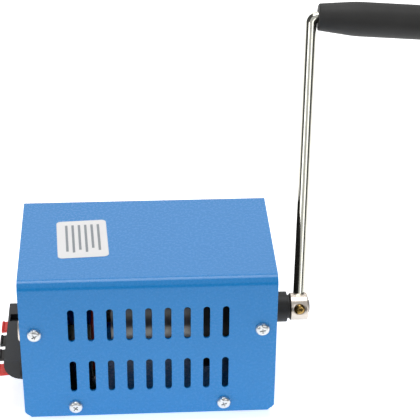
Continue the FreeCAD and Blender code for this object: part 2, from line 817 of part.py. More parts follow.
def lead(points, radius):
    """A wire along straight runs that tangent arcs join."""
    corners = [Vector(*(measured(amount).value for amount in point)) for point in points]
    edges = []
    start = corners[0]
    for before, corner, after in zip(corners, corners[1:], corners[2:]):
        arriving = (corner - before).normalize()
        leaving = (after - corner).normalize()
        half_turn = arriving.getAngle(leaving) / 2
        cut_back = 0.45 * min((corner - before).Length, (after - corner).Length)
        first = corner - arriving * cut_back
        last = corner + leaving * cut_back
        inward = (leaving - arriving).normalize()
        bend = cut_back / math.tan(half_turn)
        middle = corner + inward * (bend / math.cos(half_turn) - bend)
        edges.append(Part.LineSegment(start, first).toShape())
        edges.append(Part.Arc(first, middle, last).toShape())
        start = last
    edges.append(Part.LineSegment(start, corners[-1]).toShape())
    path = Part.Wire(edges)
    mouth = Part.Wire(Part.Circle(corners[0], corners[1] - corners[0], radius).toShape())
    return path.makePipeShell([mouth], True, False)


lead_radius = size.lead_radius.value
tab_x = motor_left - 2
tab_z = shaft_z + 7.5
lead_x = tab_x - size.motor_lead_reach
tab_y = size.motor_lead_spread
lead_y = tab_y + 2.5
drawn("motor_lead_red", lead([
    (tab_x, -tab_y, tab_z), (tab_x - 6, -tab_y, tab_z + 1.5), (lead_x, -lead_y, tab_z - 5),
    (lead_x, -lead_y, board_top)], lead_radius))
drawn("motor_lead_black", lead([
    (tab_x, tab_y, tab_z), (tab_x - 5, tab_y, tab_z + 1), (lead_x + 1, lead_y, tab_z - 6),
    (lead_x + 1, lead_y, board_top)], lead_radius))
tail_end = tail_left + size.tail_length
output_z = tail_z + size.tail_thickness
pad_x = board_left + size.lead_pad_inset
drawn("output_leads", Part.makeCompound([lead([
    (tail_end, depth, output_z), (pad_x, depth, output_z), (pad_x, depth, board_top)],
    lead_radius) for depth in lever_spots]))
socket_back = panel_left + size.socket_depth
socket_leads = []
for step in (-1.6, 1.6):
    drop_x = socket_back + 5 + step
    drop_y = -size.board_depth / 2 + 3 + step
    socket_leads.append(lead([
        (socket_back, socket_y, socket_z + step), (drop_x, socket_y, socket_z + step),
        (drop_x, drop_y, socket_z - 13), (drop_x, drop_y, board_top)], lead_radius))
drawn("socket_leads", Part.makeCompound(socket_leads))


def oblong(body, start, length, radius, cut=False):
    """The outline round both gear axes, as a bar along X."""
    rod(body, (start, 0, shaft_z), radius, length, cut=cut)
    rod(body, (start, lay_y, lay_z), radius, length, cut=cut)
    slope = size.layshaft_angle
    turn = Rotation(Vector(1, 0, 0), slope.value)
    box(body, (start, radius * sine(slope), shaft_z - radius * cosine(slope)), length,
        centre_distance, 2 * radius, turn, cut)


ear_distance = gearbox_radius + size.ear_offset
slope = size.layshaft_angle
middle_y = lay_y / 2
middle_z = (shaft_z + lay_z) / 2
gearbox_ears = [(-ear_distance * cosine(slope), shaft_z - ear_distance * sine(slope)),
                (middle_y - ear_distance * sine(slope), middle_z + ear_distance * cosine(slope)),
                (middle_y + ear_distance * sine(slope), middle_z - ear_distance * cosine(slope))]

# Gearbox case: a moulded cup whose nose passes through the right panel
gearbox = new_body("gearbox_case")
oblong(gearbox, gearbox_left, size.gearbox_length, gearbox_radius)
for depth, height in gearbox_ears:
    rod(gearbox, (gearbox_left, depth, height), size.gearbox_ear_radius,
        size.gearbox_ear_length)
oblong(gearbox, gearbox_left - 1, size.gearbox_length - size.gearbox_end + 1,
       gearbox_radius - size.gearbox_wall, cut=True)
for depth, height in gearbox_ears:
    rod(gearbox, (gearbox_left - 1, depth, height), size.screw_radius + size.thread_gap,
        size.gearbox_ear_length - 1, cut=True)
end_wall = panel_right - size.gearbox_end
rod(gearbox, (nose_left, 0, shaft_z), size.nose_radius, nose_right - nose_left)
rod(gearbox, (nose_left - 1, 0, shaft_z), size.bush_radius, nose_right - nose_left + 2, cut=True)
pinion_right = second_stage + size.gear_width + 1
rod(gearbox, (pinion_right + 0.3, lay_y, lay_z), size.pin_boss_radius,
    end_wall - pinion_right)
rod(gearbox, (pinion_right, lay_y, lay_z), size.pin_radius + size.press_gap,
    end_wall - pinion_right, cut=True)
boss_left = end_wall - size.panel_boss_length
for depth, height in panel_spots:
    rod(gearbox, (boss_left, depth, height), size.screw_radius + 1.6, size.panel_boss_length)
    rod(gearbox, (boss_left - 1, depth, height), size.screw_radius + size.thread_gap,
        size.panel_boss_length + size.gearbox_end + 2, cut=True)

plate = new_body("gearbox_plate")
oblong(plate, plate_left, size.plate_thickness, gearbox_radius)
for depth, height in gearbox_ears:
    rod(plate, (plate_left, depth, height), size.gearbox_ear_radius, size.plate_thickness)
    rod(plate, (plate_left - 1, depth, height), size.screw_radius + size.hole_gap,
        size.plate_thickness + 2, cut=True)
rod(plate, (plate_left - 1, 0, shaft_z), size.motor_boss_radius + 0.05,
    size.plate_thickness + 2, cut=True)
rod(plate, (plate_left - 1, lay_y, lay_z), size.pin_radius + size.press_gap,
    size.plate_thickness + 2, cut=True)
motor_spots = [(side * size.motor_screw_circle * cosine(slope),
                shaft_z - side * size.motor_screw_circle * sine(slope)) for side in (-1, 1)]
for depth, height in motor_spots:
    rod(plate, (plate_left - 1, depth, height), size.screw_radius + size.hole_gap,
        size.plate_thickness + 2, cut=True)
group("plate_screws", [screw(f"plate_screw_{number}", (plate_left, depth, height), (-1, 0, 0),
                             TO_LEFT, size.screw_head_radius - 0.3, size.screw_head_height,
                             size.screw_radius,
                             size.plate_thickness + size.gearbox_ear_length - 2)
                       for number, (depth, height) in enumerate(gearbox_ears)])
group("motor_screws", [screw(f"motor_screw_{number}", (gearbox_left, depth, height), (1, 0, 0),
                             TO_RIGHT, size.screw_head_radius - 0.3, size.small_head_height,
                             size.screw_radius, size.plate_thickness + size.motor_wall)
                       for number, (depth, height) in enumerate(motor_spots)])
group("panel_screws", [screw(f"panel_screw_{number}", (right, depth, height), (1, 0, 0),
                             TO_RIGHT, size.screw_head_radius, size.screw_head_height,
                             size.screw_radius, size.panel_screw_length)
                       for number, (depth, height) in enumerate(panel_spots)])


def tooth_flank(teeth, shift, radius):
    """Half the angle of a tooth at a radius, in radians, from the involute of its circle."""
    pitch_radius = teeth * size.tooth_module.value / 2
    slant = math.radians(size.pressure_angle.value)
    base_radius = pitch_radius * math.cos(slant)
    here = math.acos(min(1, base_radius / radius))
    half = (math.pi / 2 + 2 * shift * math.tan(slant)) / teeth
    half -= size.backlash.value / 4 / pitch_radius
    return half + math.tan(slant) - slant - math.tan(here) + here


def gear_outline(teeth, shift, first_tooth):
    """A gear's outline in the YZ plane, with the middle of one tooth at a given angle."""
    module = size.tooth_module.value
    pitch_radius = teeth * module / 2
    base_radius = pitch_radius * math.cos(math.radians(size.pressure_angle.value))
    root = pitch_radius - (1.25 - shift) * module
    tip = pitch_radius + (1 + shift) * module
    start = max(root, base_radius) + 0.001
    radii = [start + step * (tip - start) / 3 for step in range(4)]
    flank = [(radius, tooth_flank(teeth, shift, radius)) for radius in radii]
    if root < base_radius:
        flank.insert(0, (root, flank[0][1]))
    points = []
    for tooth in range(teeth):
        middle = math.radians(first_tooth) + 2 * math.pi * tooth / teeth
        spots = [(radius, -half) for radius, half in flank]
        spots += [(radius, half) for radius, half in reversed(flank)]
        points += [Vector(0, radius * math.cos(middle + turn), radius * math.sin(middle + turn))
                   for radius, turn in spots]
    return Part.makePolygon(points + points[:1])


def gear(teeth, shift, first_tooth, start, centre, width):
    """A spur gear that starts at an X place on an axis."""
    face = Part.Face(gear_outline(teeth, shift, first_tooth))
    shape = face.extrude(Vector(width.value, 0, 0))
    shape.translate(Vector(start.value, *(amount.value for amount in centre)))
    return shape


def bar(start, centre, radius, length):
    place = Vector(start.value, *(amount.value for amount in centre))
    return Part.makeCylinder(radius.value, length.value, place, Vector(1, 0, 0))


# Gear train: wheel on the crank shaft, layshaft gear, pinion on the machine's shaft
wheel_teeth = int(size.wheel_teeth.value)
pinion_teeth = int(size.pinion_teeth.value)
shift = size.tooth_shift.value
half_pitch = 180 / pinion_teeth
outward = size.layshaft_angle.value
inward = outward + 180
shaft_line = (measured(0.0), shaft_z)
lay_line = (lay_y, lay_z)
pinion_length = size.wheel_spacing + 1

lay_wheel = gear(wheel_teeth, -shift, inward, first_stage, lay_line, size.gear_width)
lay_pinion = gear(pinion_teeth, shift, inward + half_pitch, first_stage + size.gear_width,
                  lay_line, pinion_length)
lay_bore = bar(first_stage - 1, lay_line, size.pin_radius + size.running_gap,
               size.gear_width + pinion_length + 2)
drawn("layshaft_gear", lay_wheel.fuse(lay_pinion).cut(lay_bore))

crank_wheel = gear(wheel_teeth, -shift, outward, second_stage, shaft_line, size.gear_width)
wheel_hub = bar(second_stage + size.gear_width, shaft_line, size.shaft_radius + 3.2,
                nose_left - second_stage - size.gear_width - 0.1)
wheel_bore = bar(second_stage - 1, shaft_line, size.shaft_radius + size.press_gap,
                 nose_left - second_stage + 2)
drawn("crank_gear", crank_wheel.fuse(wheel_hub).cut(wheel_bore))

motor_gear = gear(pinion_teeth, shift, outward + half_pitch, first_stage - 0.3, shaft_line,
                  size.gear_width + 0.8)
motor_gear_bore = bar(first_stage - 1, shaft_line, size.motor_shaft_radius + size.press_gap,
                      size.gear_width + 3)
drawn("motor_pinion", motor_gear.cut(motor_gear_bore))

pin = new_body("layshaft_pin")
rod(pin, (plate_left, lay_y, lay_z), size.pin_radius, end_wall - plate_left - 0.4)

# Crank shaft, its clip, its two bushes and the collar beside the hub
shaft = new_body("crank_shaft")
clip_left = second_stage - size.clip_thickness
rod(shaft, (clip_left - 0.8, 0, shaft_z), size.shaft_radius, 0.8)
groove_radius = size.shaft_radius - size.clip_groove
rod(shaft, (clip_left, 0, shaft_z), groove_radius, size.clip_thickness)
rod(shaft, (second_stage, 0, shaft_z), size.shaft_radius,
    hub_right + size.shaft_end - second_stage)
soften(shaft, 0.4, lambda edge: lies_at(edge, x=(hub_right + size.shaft_end,)), "Chamfer")
clip = new_body("shaft_clip")
rod(clip, (clip_left, 0, shaft_z), size.clip_radius, size.clip_thickness)
rod(clip, (clip_left - 1, 0, shaft_z), groove_radius + size.press_gap,
    size.clip_thickness + 2, cut=True)
box(clip, (clip_left - 1, -size.shaft_radius * 0.6, shaft_z - size.clip_radius - 1),
    size.clip_thickness + 2, size.shaft_radius * 1.2, size.clip_radius, cut=True)
bushes = []
for number, start in enumerate((nose_left, nose_right - size.bush_length)):
    ring = solid("Cylinder", f"bush_{number}_ring", (start, 0, shaft_z), TO_RIGHT,
                 Radius=size.bush_radius - size.press_gap, Height=size.bush_length)
    bore = solid("Cylinder", f"bush_{number}_bore", (start - 1, 0, shaft_z), TO_RIGHT,
                 Radius=size.shaft_radius + size.running_gap, Height=size.bush_length + 2)
    bushes.append(less(f"bush_{number}", ring, bore))
group("shaft_bushes", bushes)
collar = new_body("shaft_collar")
rod(collar, (nose_right + size.collar_gap, 0, shaft_z), size.collar_radius, size.collar_length)
rod(collar, (nose_right, 0, shaft_z), size.shaft_radius + size.press_gap,
    size.collar_length + 1, cut=True)

# Machine: a steel can with two magnets, brushes in the end cap and a wound rotor
can = new_body("motor_can")
rod(can, (motor_left, 0, shaft_z), size.motor_radius, size.motor_length)
soften(can, 1.0, lambda edge: lies_at(edge, x=(plate_left,)))
rod(can, (motor_left - 1, 0, shaft_z), size.motor_radius - size.motor_wall,
    size.motor_length - size.motor_wall + 1, cut=True)
rod(can, (plate_left, 0, shaft_z), size.motor_boss_radius, size.motor_boss_height)
rod(can, (plate_left - 4, 0, shaft_z), size.bearing_radius, size.motor_boss_height + 6, cut=True)
for depth, height in motor_spots:
    rod(can, (plate_left - 3, depth, height), size.screw_radius + size.thread_gap, 5, cut=True)
can_inner = size.motor_radius - size.motor_wall
end_cap = new_body("motor_end_cap")
rod(end_cap, (motor_left, 0, shaft_z), can_inner - 0.05, size.end_cap_thickness)
rod(end_cap, (motor_left - 2, 0, shaft_z), size.bearing_radius + 2, 2)
brush_left = motor_left + size.end_cap_thickness + 1.6
for side in (-1, 1):
    box(end_cap, (motor_left + 1, side * 9 - 3.2, shaft_z - size.brush_size / 2 - 1.5),
        size.end_cap_thickness + size.brush_size, 6.4, 1.5)
    box(end_cap, (tab_x, side * tab_y - 1.6, tab_z - 1.6), 3, 3.2, 1.2)
rod(end_cap, (motor_left - 3, 0, shaft_z), size.bearing_radius, size.end_cap_thickness + 4,
    cut=True)
brushes = []
magnets = []
for number, side in enumerate((-1, 1)):
    inner_end = side * (size.commutator_radius + 0.05)
    corner = inner_end if side == 1 else inner_end - size.brush_length
    brushes.append(solid("Box", f"brush_{number}",
                         (brush_left, corner, shaft_z - size.brush_size / 2),
                         Length=size.brush_size, Width=size.brush_length,
                         Height=size.brush_size))
    ring = solid("Cylinder", f"magnet_{number}_arc", (motor_left + 12, 0, shaft_z),
                 Rotation(Vector(1, 0, 0), 180 * number - 60).multiply(TO_RIGHT),
                 Radius=can_inner, Height=size.rotor_length + 2)
    ring.Angle = 120
    bore = solid("Cylinder", f"magnet_{number}_bore", (motor_left + 11, 0, shaft_z), TO_RIGHT,
                 Radius=size.rotor_radius + size.air_gap, Height=size.rotor_length + 4)
    magnets.append(less(f"magnet_{number}", ring, bore))
group("brushes", brushes)
group("field_magnets", magnets)

rotor_left = motor_left + 13
core = new_body("rotor_core")
rod(core, (rotor_left, 0, shaft_z), size.rotor_radius, size.rotor_length)
rod(core, (rotor_left - 1, 0, shaft_z), size.motor_shaft_radius + size.press_gap,
    size.rotor_length + 2, cut=True)
windings = new_body("rotor_windings")
for start in (rotor_left - size.winding_end, rotor_left + size.rotor_length):
    rod(windings, (start, 0, shaft_z), size.winding_radius, size.winding_end)
slot_floor = size.rotor_radius - size.rotor_slot_depth
for step in range(int(size.rotor_slots.value)):
    angle = step * 360 / size.rotor_slots
    turn = Rotation(Vector(1, 0, 0), angle.value)
    for body, gap, cut in ((core, 0, True), (windings, 0.1, False)):
        half = size.rotor_slot_width / 2 - gap
        inner = slot_floor + gap
        margin = 1 if cut else 0.2
        box(body, (rotor_left - margin, inner * cosine(angle) + half * sine(angle),
                   shaft_z + inner * sine(angle) - half * cosine(angle)),
            size.rotor_length + 2 * margin, size.rotor_slot_depth + (1 if cut else -2),
            2 * half, turn, cut)
rod(windings, (rotor_left - 5, 0, shaft_z), size.motor_shaft_radius + size.press_gap,
    size.rotor_length + 10, cut=True)
commutator = new_body("commutator")
rod(commutator, (brush_left - 0.6, 0, shaft_z), size.commutator_radius, size.commutator_length)
rod(commutator, (brush_left - 2, 0, shaft_z), size.motor_shaft_radius + size.press_gap,
    size.commutator_length + 3, cut=True)
rotor_shaft = new_body("rotor_shaft")
rod(rotor_shaft, (motor_left - 1.4, 0, shaft_z), size.motor_shaft_radius,
    first_stage + size.gear_width + 0.5 - motor_left + 1.4)
bearings = []
for number, (start, length) in enumerate(((motor_left - 2, 5), (plate_left - size.motor_wall, 3.2))):
    ring = solid("Cylinder", f"bearing_{number}_ring", (start, 0, shaft_z), TO_RIGHT,
                 Radius=size.bearing_radius - size.press_gap, Height=length)
    bore = solid("Cylinder", f"bearing_{number}_bore", (start - 1, 0, shaft_z), TO_RIGHT,
                 Radius=size.motor_shaft_radius + size.running_gap, Height=length + 2)
    bearings.append(less(f"bearing_{number}", ring, bore))
group("motor_bearings", bearings)

# Crank: hub, set screw, bent rod and the grip that turns on it
tilt = Rotation(Vector(1, 0, 0), -size.arm_tilt.value)
crank_turn = tilt.multiply(Rotation(Vector(0, 1, 0), size.arm_lean.value))
crank_centre = (hub_middle, 0, shaft_z)
arm_direction = (sine(size.arm_lean), cosine(size.arm_lean) * sine(size.arm_tilt),
                 cosine(size.arm_lean) * cosine(size.arm_tilt))
arm_root = size.shaft_radius + 0.2
hub = new_body("crank_hub")
rod(hub, (hub_left, 0, shaft_z), size.hub_radius, size.hub_length)
soften(hub, size.hub_chamfer, lambda edge: lies_at(edge, x=(hub_left, hub_right)), "Chamfer")
rod(hub, (hub_left - 1, 0, shaft_z), size.shaft_radius + size.press_gap, size.hub_length + 2,
    cut=True)
rod(hub, tuple(start + 2 * step for start, step in zip(crank_centre, arm_direction)),
    size.arm_radius + size.press_gap, size.hub_radius, crank_turn, cut=True)
screw_turn = Rotation(Vector(1, 0, 0), 90 - size.hub_screw_angle.value)
screw_direction = (0, -cosine(size.hub_screw_angle), sine(size.hub_screw_angle))


def on_screw_line(amount):
    return tuple(start + amount * step for start, step in zip(crank_centre, screw_direction))


rod(hub, on_screw_line(measured(1)), size.hub_screw_radius + size.thread_gap, size.hub_radius,
    screw_turn, cut=True)
rod(hub, on_screw_line(size.hub_screw_seat), size.hub_screw_head_radius + 0.15,
    size.hub_radius, screw_turn, cut=True)
hub_screw = new_body("hub_screw")
rod(hub_screw, on_screw_line(size.shaft_radius + 0.05), size.hub_screw_radius,
    size.hub_screw_seat - size.shaft_radius, screw_turn)
rod(hub_screw, on_screw_line(size.hub_screw_seat), size.hub_screw_head_radius,
    size.hub_screw_head_height * 0.6, screw_turn)
taper(hub_screw, on_screw_line(size.hub_screw_seat + size.hub_screw_head_height * 0.6),
      size.hub_screw_head_radius, size.hub_screw_head_radius * 0.7,
      size.hub_screw_head_height * 0.4, screw_turn)

grip_end = size.grip_start + size.grip_length
arm_end = grip_end - size.grip_recess_depth + 0.2
arm = new_body("crank_arm")
put(arm, crank_centre, crank_turn)
spine = new_sketch(arm, "XZ_Plane")
corner = size.arm_length - size.arm_bend
spine.addGeometry(Part.LineSegment(Vector(0, arm_root.value, 0), Vector(0, corner.value, 0)))
spine.addGeometry(Part.Arc(
    Vector(0, corner.value, 0),
    Vector(size.arm_bend.value * (1 - math.sqrt(0.5)),
           corner.value + size.arm_bend.value * math.sqrt(0.5), 0),
    Vector(size.arm_bend.value, size.arm_length.value, 0)))
spine.addGeometry(Part.LineSegment(Vector(size.arm_bend.value, size.arm_length.value, 0),
                                   Vector(arm_end.value, size.arm_length.value, 0)))
spine.addConstraint(Sketcher.Constraint("Tangent", 0, 2, 1, 2))
spine.addConstraint(Sketcher.Constraint("Tangent", 1, 1, 2, 1))
pin_point(spine, 0, 1, 0, arm_root)
spine.addConstraint(Sketcher.Constraint("Vertical", 0))
spine.addConstraint(Sketcher.Constraint("Horizontal", 2))
fix(spine, "Radius", 1, amount=size.arm_bend)
pin_point(spine, 2, 2, arm_end, size.arm_length)
section = new_sketch(arm, "XY_Plane")
section.AttachmentOffset = Placement(Vector(0, 0, arm_root.value), Rotation())
section.setExpression(".AttachmentOffset.Base.z", arm_root.text)
section.addGeometry(Part.Circle(Vector(), Vector(0, 0, 1), size.arm_radius.value))
section.addConstraint(Sketcher.Constraint("Coincident", 0, 3, -1, 1))
fix(section, "Radius", 0, amount=size.arm_radius)
sweep = arm.newObject("PartDesign::AdditivePipe", "crank_arm_sweep")
sweep.Profile = section
sweep.Spine = (spine, ["Edge1", "Edge2", "Edge3"])
sweep.Mode = "Frenet"


# Grip: a turned handle with a flared neck, held on the rod by a washer and a screw
grip_centre = tuple(start + size.arm_length * step
                    for start, step in zip(crank_centre, arm_direction))
grip = new_body("grip")
put(grip, grip_centre, crank_turn)
bore_radius = size.arm_radius + size.grip_bore_gap
flare_end = size.grip_start + size.grip_flare
grip_profile = outline(grip, "XZ_Plane", [
    (size.grip_start, bore_radius + size.grip_mouth),
    (size.grip_start, size.grip_end_radius),
    (flare_end, size.grip_radius),
    (grip_end, size.grip_radius),
    (grip_end, size.grip_recess_radius),
    (grip_end - size.grip_recess_depth, size.grip_recess_radius),
    (grip_end - size.grip_recess_depth, bore_radius),
    (size.grip_start + size.grip_mouth, bore_radius)])
turning = grip.newObject("PartDesign::Revolution", "grip_turning")
turning.Profile = grip_profile
turning.ReferenceAxis = (grip_profile, ["H_Axis"])
turning.Angle = 360


def is_ring(edge, across, radius):
    """True for a whole circle round the grip at a place along it and of a radius."""
    return (edge.Curve.TypeId == "Part::GeomCircle"
            and abs(edge.Curve.Radius - radius.value) < 0.01
            and abs(edge.Curve.Center.x - across.value) < 0.01)


soften(grip, size.grip_dome, lambda edge: is_ring(edge, grip_end, size.grip_radius))
soften(grip, size.grip_lip, lambda edge: is_ring(edge, size.grip_start, size.grip_end_radius))

screw_left = arm_end - size.grip_screw_length
rod(arm, (screw_left - 0.5, 0, size.arm_length), size.grip_screw_radius + size.press_gap,
    size.grip_screw_length + 1, cut=True)
washer = new_body("grip_washer")
put(washer, grip_centre, crank_turn)
rod(washer, (arm_end, 0, 0), size.washer_radius, size.washer_thickness)
rod(washer, (arm_end - 1, 0, 0), size.grip_screw_radius + size.hole_gap,
    size.washer_thickness + 2, cut=True)
grip_screw = new_body("grip_screw")
put(grip_screw, grip_centre, crank_turn)
rod(grip_screw, (screw_left, 0, 0), size.grip_screw_radius,
    size.grip_screw_length + size.washer_thickness)
rod(grip_screw, (arm_end + size.washer_thickness, 0, 0), size.grip_screw_head,
    size.grip_screw_head_height)

doc.recompute()

faults = [item.Label for item in doc.Objects
          if "Invalid" in item.State or "Error" in item.State]
faults += [item.Label for item in nodes if item.Shape.isNull() or not item.Shape.isValid()]
if faults:
    raise RuntimeError("failed: " + ", ".join(faults))

os.makedirs("parts", exist_ok=True)
for item in nodes:
    item.Shape.exportStep(f"parts/{item.Label}.step")
    print(f"{item.Label}: {len(item.Shape.Solids)} solids, {item.Shape.Volume:.0f} mm3")
print(f"{len(nodes)} nodes")
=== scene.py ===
import json
import math

import bmesh
import bpy
from mathutils import Matrix, Vector

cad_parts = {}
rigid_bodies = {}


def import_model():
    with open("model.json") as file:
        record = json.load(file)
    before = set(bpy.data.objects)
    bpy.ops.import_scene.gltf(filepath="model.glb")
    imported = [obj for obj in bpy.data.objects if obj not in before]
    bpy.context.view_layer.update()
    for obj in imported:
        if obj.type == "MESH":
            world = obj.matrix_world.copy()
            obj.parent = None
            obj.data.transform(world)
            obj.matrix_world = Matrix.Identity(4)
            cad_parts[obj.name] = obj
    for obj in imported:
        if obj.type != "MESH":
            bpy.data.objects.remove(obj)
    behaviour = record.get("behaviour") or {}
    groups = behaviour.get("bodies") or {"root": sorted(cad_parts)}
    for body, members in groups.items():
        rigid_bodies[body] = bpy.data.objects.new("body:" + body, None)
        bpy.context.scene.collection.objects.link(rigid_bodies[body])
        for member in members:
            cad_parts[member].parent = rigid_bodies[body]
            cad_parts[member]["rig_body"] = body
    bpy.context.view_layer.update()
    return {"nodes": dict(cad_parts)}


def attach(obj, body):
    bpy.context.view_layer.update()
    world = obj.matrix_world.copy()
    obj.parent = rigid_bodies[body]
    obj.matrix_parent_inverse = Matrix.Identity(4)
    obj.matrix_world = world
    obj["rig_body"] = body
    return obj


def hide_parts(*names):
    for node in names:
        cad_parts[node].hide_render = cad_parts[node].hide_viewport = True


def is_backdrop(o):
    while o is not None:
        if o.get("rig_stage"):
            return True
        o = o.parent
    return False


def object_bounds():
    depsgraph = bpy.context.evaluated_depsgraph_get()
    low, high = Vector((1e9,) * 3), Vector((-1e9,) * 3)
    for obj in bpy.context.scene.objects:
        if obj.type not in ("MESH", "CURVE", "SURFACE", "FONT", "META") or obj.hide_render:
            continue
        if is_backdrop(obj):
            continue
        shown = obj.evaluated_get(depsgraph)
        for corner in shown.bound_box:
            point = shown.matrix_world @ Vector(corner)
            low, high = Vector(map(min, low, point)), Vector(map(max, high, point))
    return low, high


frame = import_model()
nodes = frame["nodes"]

# Camera: stands in front of the case, a little to the left of its middle, and looks down
# at it by about thirty degrees through a long lens.
camera_data = bpy.data.cameras.new("camera")
camera_data.lens = 124.66
camera_data.sensor_width = 36
camera_data.clip_start = 0.05
camera_data.clip_end = 20
camera = bpy.data.objects.new("camera", camera_data)
bpy.context.scene.collection.objects.link(camera)
camera_right = Vector((0.99821343, -0.05923135, 0.00784825))
camera_up = Vector((0.02351689, 0.5102383, 0.85971148))
camera_back = Vector((-0.05492635, -0.85799098, 0.51071966))
camera_place = (-0.006832, -0.543474, 0.411258)
camera_turn = Matrix((camera_right, camera_up, camera_back)).transposed().to_4x4()
camera.matrix_world = Matrix.Translation(camera_place) @ camera_turn
bpy.context.scene.camera = camera
bpy.context.scene.view_settings.view_transform = "Standard"


# Floor: a white acrylic sheet that runs out of sight. No lamp is below it: its glow is painted
# light, given off by its own material, and this painted glow is weaker in front of the case, so
# that the front isn't washed out.
def linear(colour):
    """Turns an sRGB hex colour into linear red, green, blue and alpha."""
    parts = [int(colour[start:start + 2], 16) / 255 for start in (1, 3, 5)]
    return (*[part / 12.92 if part <= 0.04045 else ((part + 0.055) / 1.055) ** 2.4
              for part in parts], 1)


def add(tree, kind, settings=None, links=None):
    """Adds a node, sets its inputs and properties, and links outputs of others to it."""
    node = tree.nodes.new(kind)
    for name, value in (settings or {}).items():
        if name in node.inputs:
            node.inputs[name].default_value = value
        else:
            setattr(node, name, value)
    for name, source in (links or {}).items():
        tree.links.new(source, node.inputs[name])
    return node


def finish(name, dark, light, roughness, patch=0.012, grain=0.0004, bump=0.05, depth=0.00005,
           **shader):
    """A finish whose colour wanders between two hex colours in patches of a size in metres,
    with a fine grain that also has a size in metres, and a roughness that follows it."""
    made = bpy.data.materials.new(name)
    made.use_nodes = True
    tree = made.node_tree
    surface = tree.nodes["Principled BSDF"]
    for socket, value in shader.items():
        surface.inputs[socket.replace("_", " ")].default_value = value
    where = add(tree, "ShaderNodeTexCoord").outputs["Object"]
    clouds = add(tree, "ShaderNodeTexNoise", {"Scale": 1 / patch, "Detail": 4.0},
                 {"Vector": where})
    tint = add(tree, "ShaderNodeMix", {"data_type": "RGBA"}, {"Factor": clouds.outputs["Fac"]})
    tint.inputs[6].default_value = linear(dark)
    tint.inputs[7].default_value = linear(light)
    tree.links.new(tint.outputs[2], surface.inputs["Base Color"])
    specks = add(tree, "ShaderNodeTexNoise", {"Scale": 1 / grain, "Detail": 2.0},
                 {"Vector": where})
    smoothest, roughest = roughness * 0.85, roughness * 1.15
    rough = add(tree, "ShaderNodeMapRange", {"To Min": smoothest, "To Max": roughest},
                {"Value": specks.outputs["Fac"]})
    tree.links.new(rough.outputs["Result"], surface.inputs["Roughness"])
    relief = add(tree, "ShaderNodeBump", {"Strength": bump, "Distance": depth},
                 {"Height": specks.outputs["Fac"]})
    tree.links.new(relief.outputs["Normal"], surface.inputs["Normal"])
    return made


floor_width = 12
bpy.ops.mesh.primitive_plane_add(size=floor_width, location=(0, 0, 0))
floor = bpy.context.object
floor.name = "floor"
# Painted glow: the floor's material gives off white light of its own.
glowing_floor_finish = finish("painted_glow_white_floor", "#fafafa", "#ffffff", 0.75, patch=0.4, grain=0.002,
                 bump=0.02, Emission_Color=linear("#ffffff"))
floor.data.materials.append(glowing_floor_finish)
sheet = glowing_floor_finish.node_tree
on_sheet = add(sheet, "ShaderNodeTexCoord").outputs["Object"]
depth_in = add(sheet, "ShaderNodeSeparateXYZ", {}, {"Vector": on_sheet}).outputs["Y"]
# Painted glow: emission strength is dim in front of the case and full from just before it
# backwards.
dim_until, full_from = -0.25, -0.02
dim_glow, full_glow = 0.35, 0.68
glow = add(sheet, "ShaderNodeMapRange",
           {"interpolation_type": "SMOOTHSTEP", "From Min": dim_until, "From Max": full_from,
            "To Min": dim_glow, "To Max": full_glow}, {"Value": depth_in})
sheet.links.new(glow.outputs["Result"],
                sheet.nodes["Principled BSDF"].inputs["Emission Strength"])
floor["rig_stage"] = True

# Light panels: large and soft. The overhead one draws the bright line along the fold of the
# cover, and the two behind lay a haze on its top.
for name, place, width, power in (("panel_above_camera", (-0.4, -2.2, 2.2), 3.0, 16),
                                  ("panel_overhead", (0.0, 0.2, 1.8), 1.0, 15.5),
                                  ("panel_high_behind", (0.0, 1.5, 2.0), 1.6, 4),
                                  ("panel_behind", (0.0, 3.0, 1.8), 2.4, 23),
                                  ("panel_left", (-1.7, -1.3, 1.1), 1.1, 9.5),
                                  ("panel_right", (1.2, -1.7, 1.0), 1.1, 7.6)):
    light_data = bpy.data.lights.new(name, "AREA")
    light_data.size = width
    light_data.energy = power
    light = bpy.data.objects.new(name, light_data)
    bpy.context.scene.collection.objects.link(light)
    light.location = place
    light.rotation_euler = (-Vector(place)).to_track_quat("-Z", "Y").to_euler()

# Black cards: unseen by the camera, and black only on the side towards what mirrors them. The
# one in front draws the dark line below the fold, the one by the rod the rod's dark left side.
black_paper = finish("black_paper", "#050505", "#080808", 0.9, patch=0.1)
paper = black_paper.node_tree
one_sided = add(paper, "ShaderNodeMixShader", {},
                {"Fac": add(paper, "ShaderNodeNewGeometry").outputs["Backfacing"]})
paper.links.new(paper.nodes["Principled BSDF"].outputs["BSDF"], one_sided.inputs[1])
paper.links.new(add(paper, "ShaderNodeBsdfTransparent").outputs["BSDF"], one_sided.inputs[2])
paper.links.new(one_sided.outputs["Shader"], paper.nodes["Material Output"].inputs["Surface"])
for name, place, turned, scale in (
        ("black_card_in_front", (0, -0.3, 0.06), (-math.pi / 2, 0, 0), (1.2, 0.12, 1)),
        ("black_card_by_the_rod", (0.0595, 0, 0.045), (0, math.pi / 2, 0), (0.065, 0.08, 1))):
    bpy.ops.mesh.primitive_plane_add(size=1, location=place, rotation=turned)
    card = bpy.context.object
    card.name = name
    card.scale = scale
    card.visible_camera = False
    card.data.materials.append(black_paper)
    card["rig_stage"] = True
# The last card, by the rod, keeps no light off the side panel.
card.visible_diffuse = False
card.visible_shadow = False

# Room: white where the camera sees it, and dim walls to all other rays.
world = bpy.data.worlds.new("room")
bpy.context.scene.world = world
world.use_nodes = True
room = world.node_tree
backdrop = add(room, "ShaderNodeBackground", {"Color": linear("#ffffff"), "Strength": 1.0})
dim_walls = add(room, "ShaderNodeBackground", {"Color": linear("#f2f4f6"), "Strength": 0.1})
rays = add(room, "ShaderNodeLightPath").outputs
seen = add(room, "ShaderNodeMixShader", {}, {"Fac": rays["Is Camera Ray"]})
room.links.new(dim_walls.outputs["Background"], seen.inputs[1])
room.links.new(backdrop.outputs["Background"], seen.inputs[2])
room.links.new(seen.outputs["Shader"], room.nodes["World Output"].inputs["Surface"])

